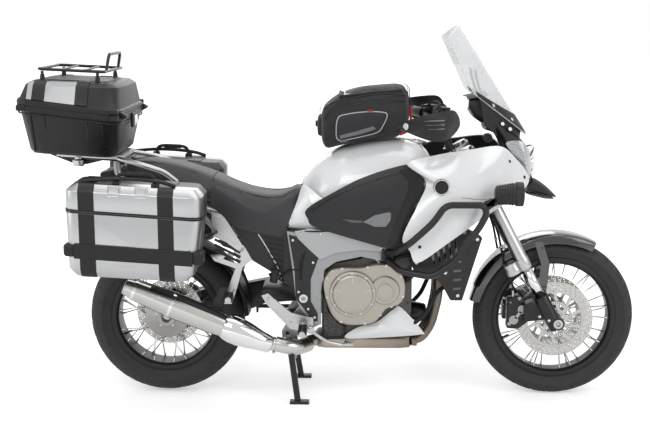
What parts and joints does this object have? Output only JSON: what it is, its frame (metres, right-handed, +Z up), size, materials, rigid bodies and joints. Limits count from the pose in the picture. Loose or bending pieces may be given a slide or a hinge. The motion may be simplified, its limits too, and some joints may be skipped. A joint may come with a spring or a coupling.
{
  "type": "adventure motorcycle",
  "caption": "Touring motorcycle with spoked wheels, crash bars, a windscreen, a tank bag and lidded luggage cases, standing on its centre stand.",
  "frame": {"origin": "on the ground, under the middle of the bike's length and width", "axes": "+X forward, +Y to the bike's left, +Z up"},
  "size_m": [2.451, 1, 1.523],
  "materials": {
    "tyre": "ribbed black tyre rubber",
    "black_rim": "gloss black",
    "spoke_steel": "bright",
    "hub_cast": "cast satin",
    "black_hub": "satin black",
    "disc_steel": "ground",
    "black_cast": "satin black",
    "slider_chrome": "polished",
    "tube_silver": "satin anodised",
    "black_plastic": "grained",
    "gloss_black": "gloss",
    "hose": "matt",
    "frame_grey": "satin metallic",
    "tube_grey": "satin metallic",
    "engine_cast": "cast",
    "cover_bronze": "satin champagne",
    "header_steel": "heat tinted",
    "silencer_steel": "brushed",
    "radiator": "finned, dark",
    "dark_plastic": "grained",
    "white_paint": "gloss white",
    "seat_cover": "stitched vinyl",
    "lens": "clear",
    "screen": "clear",
    "silver_cast": "satin",
    "spring_steel": "bright",
    "bag_fabric": "woven nylon",
    "case_black": "fine grained",
    "case_aluminium": "brushed",
    "stand_black": "satin",
    "tail_black": "grained"
  },
  "bodies": {
    "frame": {"main_frame": "frame_grey", "subframe": "tube_grey", "frame_guards": "dark_plastic", "swingarm": "black_cast", "shock": "spring_steel", "rear_fender": "black_plastic", "engine": "engine_cast", "clutch_cover": "cover_bronze", "generator_cover": "cover_bronze", "lower_brackets": "black_plastic", "belly_covers": "white_paint", "header_pipes": "header_steel", "silencer": "silencer_steel", "radiator": "radiator", "radiator_cowls": "dark_plastic", "tank": "white_paint", "tank_panels": "dark_plastic", "seat": "seat_cover", "side_covers": "dark_plastic", "side_cowls": "white_paint", "nose_cowl": "black_plastic", "headlight": "lens", "beak": "black_plastic", "windscreen": "screen", "instruments": "black_plastic", "crash_bars": "black_cast", "fog_lamps": "black_plastic", "footrests": "silver_cast", "passenger_footrests": "silver_cast", "tail_unit": "tail_black", "grab_rails": "silver_cast", "luggage_racks": "black_cast", "tank_bag": "bag_fabric", "top_case": "case_black", "side_cases": "case_aluminium"},
    "steering": {"fork_legs": "black_cast", "fork_sliders": "slider_chrome", "fork_tubes": "tube_silver", "triple_clamps": "black_cast", "handlebar": "black_cast", "bar_controls": "black_plastic", "hand_guards": "black_plastic", "front_fender": "gloss_black", "front_calipers": "black_cast", "brake_hoses": "hose"},
    "front_wheel": {"front_tyre": "tyre", "front_rim": "black_rim", "front_spokes": "spoke_steel", "front_hub": "black_hub", "front_discs": "disc_steel"},
    "rear_wheel": {"rear_tyre": "tyre", "rear_rim": "black_rim", "rear_spokes": "spoke_steel", "rear_hub": "hub_cast", "rear_disc": "disc_steel"},
    "centre_stand": {"centre_stand": "stand_black"},
    "side_stand": {"side_stand": "stand_black"},
    "top_case_lid": {"top_case_lid": "case_black"},
    "side_case_lid_right": {"side_case_lid_right": "case_aluminium"},
    "side_case_lid_left": {"side_case_lid_left": "case_aluminium"}
  },
  "joints": [
    {"name": "steering", "type": "hinge", "parent": "frame", "child": "steering", "pos_m": [0.47179, 0, 1], "axis": [-0.4695, 0, 0.8829], "range_deg": [-35, 35]},
    {"name": "front_wheel_spin", "type": "hinge", "parent": "steering", "child": "front_wheel", "pos_m": [0.8965, 0, 0.329], "axis": [0, 1, 0], "continuous": true},
    {"name": "rear_wheel_spin", "type": "hinge", "parent": "frame", "child": "rear_wheel", "pos_m": [-0.6985, 0, 0.327], "axis": [0, 1, 0], "continuous": true},
    {"name": "centre_stand_fold", "type": "hinge", "parent": "frame", "child": "centre_stand", "pos_m": [-0.1935, 0, 0.29], "axis": [0, 1, 0], "range_deg": [0, 84]},
    {"name": "side_stand_swing", "type": "hinge", "parent": "frame", "child": "side_stand", "pos_m": [-0.0705, 0.192, 0.303], "axis": [0, -0.9511, -0.309], "range_deg": [0, 95]},
    {"name": "top_case_lid_hinge", "type": "hinge", "parent": "frame", "child": "top_case_lid", "pos_m": [-0.8105, 0, 1.1715], "axis": [0, 1, 0], "range_deg": [0, 80]},
    {"name": "side_case_lid_right_hinge", "type": "hinge", "parent": "frame", "child": "side_case_lid_right", "pos_m": [-0.7415, -0.506, 0.834], "axis": [0.9977, 0, -0.0676], "range_deg": [0, 90]},
    {"name": "side_case_lid_left_hinge", "type": "hinge", "parent": "frame", "child": "side_case_lid_left", "pos_m": [-0.7415, 0.506, 0.834], "axis": [-0.9977, 0, 0.0676], "range_deg": [0, 90]}
  ]
}
